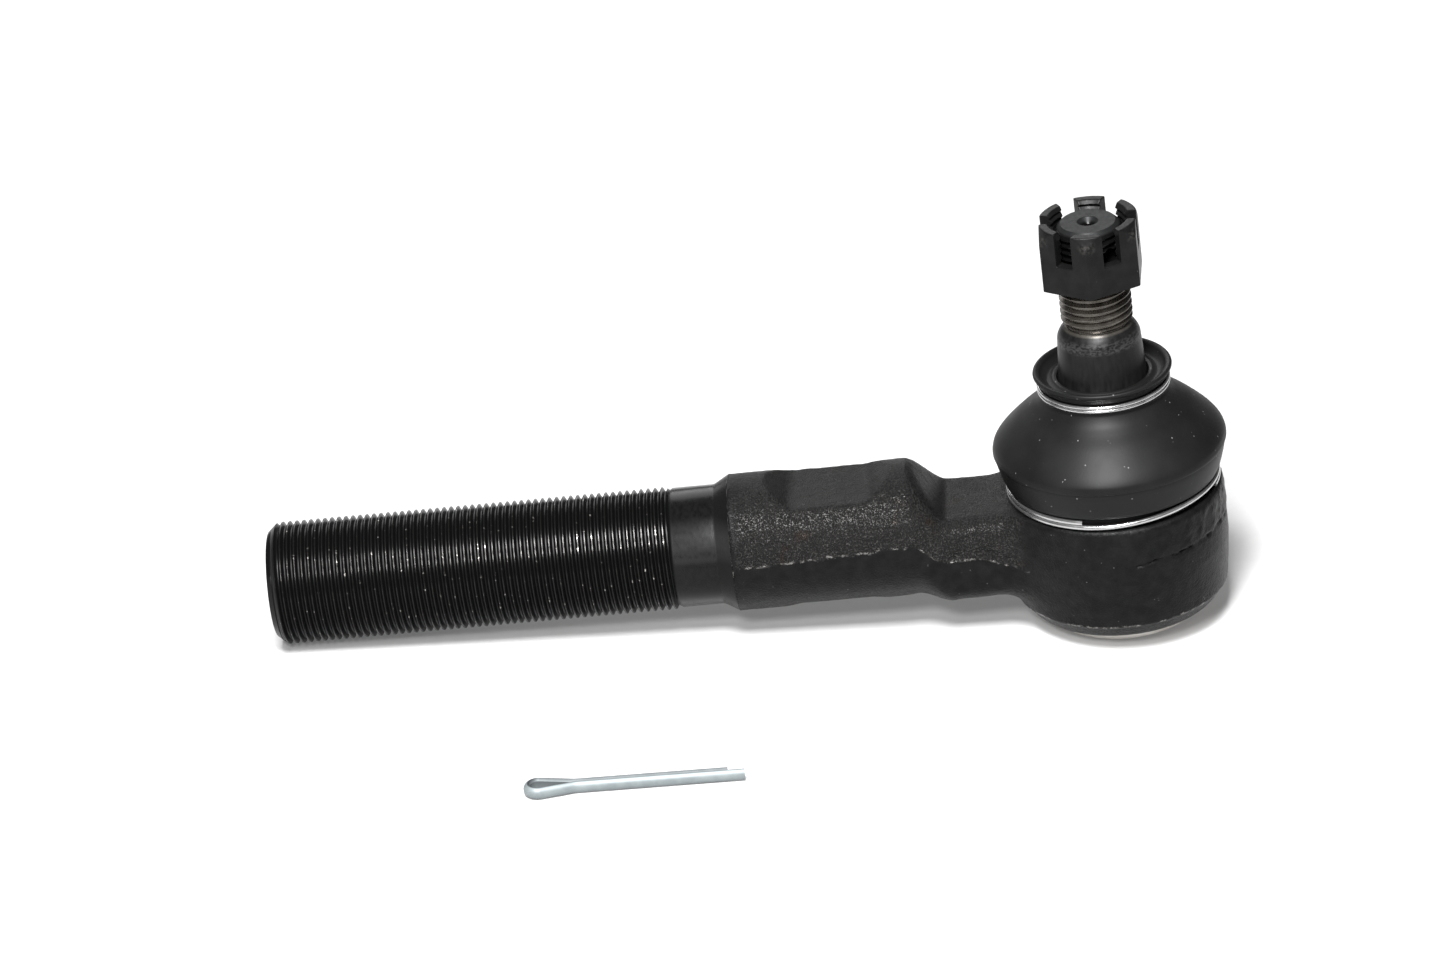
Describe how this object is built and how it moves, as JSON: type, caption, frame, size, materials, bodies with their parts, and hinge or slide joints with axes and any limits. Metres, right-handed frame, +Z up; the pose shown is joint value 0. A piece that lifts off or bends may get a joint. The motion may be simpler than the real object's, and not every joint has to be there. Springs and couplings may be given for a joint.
{
  "type": "tie rod end",
  "caption": "Outer tie rod end: forged body with a male-threaded shank, booted ball stud, castle nut and loose split pin.",
  "frame": {"origin": "centre of the ball, which the stud tilts and turns about", "axes": "+Z up the stud at rest, -X along the threaded shank, -Y to the front"},
  "size_m": [0.2034, 0.0982, 0.0905],
  "materials": {
    "forged_black": "black coated steel forging, rough grain, machined thread",
    "stud_steel": "dark phosphated steel, worn threads",
    "seat_polymer": "self-lubricating plastic, matte",
    "spring_steel": "spring steel, satin",
    "cover_steel": "plated pressed steel, satin",
    "boot_rubber": "matte black rubber with a soft sheen",
    "ring_wire": "bright spring wire",
    "nut_black": "black oxide steel, satin",
    "pin_zinc": "zinc plated, bright"
  },
  "bodies": {
    "housing": {"forged_body": "forged_black", "upper_ball_seat": "seat_polymer", "cover_plate": "cover_steel", "lower_boot_ring": "ring_wire"},
    "boot": {"dust_boot": "boot_rubber"},
    "collar": {"upper_boot_ring": "ring_wire"},
    "stud": {"ball_stud": "stud_steel"},
    "nut": {"castle_nut": "nut_black"},
    "lower_seat": {"lower_ball_seat": "seat_polymer", "preload_spring": "spring_steel"},
    "loose_pin": {"split_pin": "pin_zinc"}
  },
  "joints": [
    {"name": "tilt_along", "type": "hinge", "parent": "housing", "child": "boot", "pos_m": [0, 0, 0], "axis": [0, 1, 0], "range_deg": [-17, 17], "deforming": ["dust_boot"]},
    {"name": "tilt_across", "type": "hinge", "parent": "boot", "child": "collar", "pos_m": [0, 0, 0], "axis": [1, 0, 0], "range_deg": [-17, 17]},
    {"name": "stud_spin", "type": "hinge", "parent": "collar", "child": "stud", "pos_m": [0, 0, 0], "axis": [0, 0, 1], "continuous": true},
    {"name": "nut_turn", "type": "hinge", "parent": "stud", "child": "nut", "pos_m": [0, 0, 0.0645], "axis": [0, 0, 1], "continuous": true},
    {"name": "seat_travel", "type": "slide", "parent": "housing", "child": "lower_seat", "axis": [0, 0, 1], "range_m": [-0.0004, 0], "stiffness_N_per_m": 2000, "springref_m": 0.001, "deforming": ["preload_spring"]},
    {"name": "pin_lift", "type": "slide", "parent": "housing", "child": "loose_pin", "axis": [0, 0, 1], "range_m": [0, 0.06]}
  ]
}
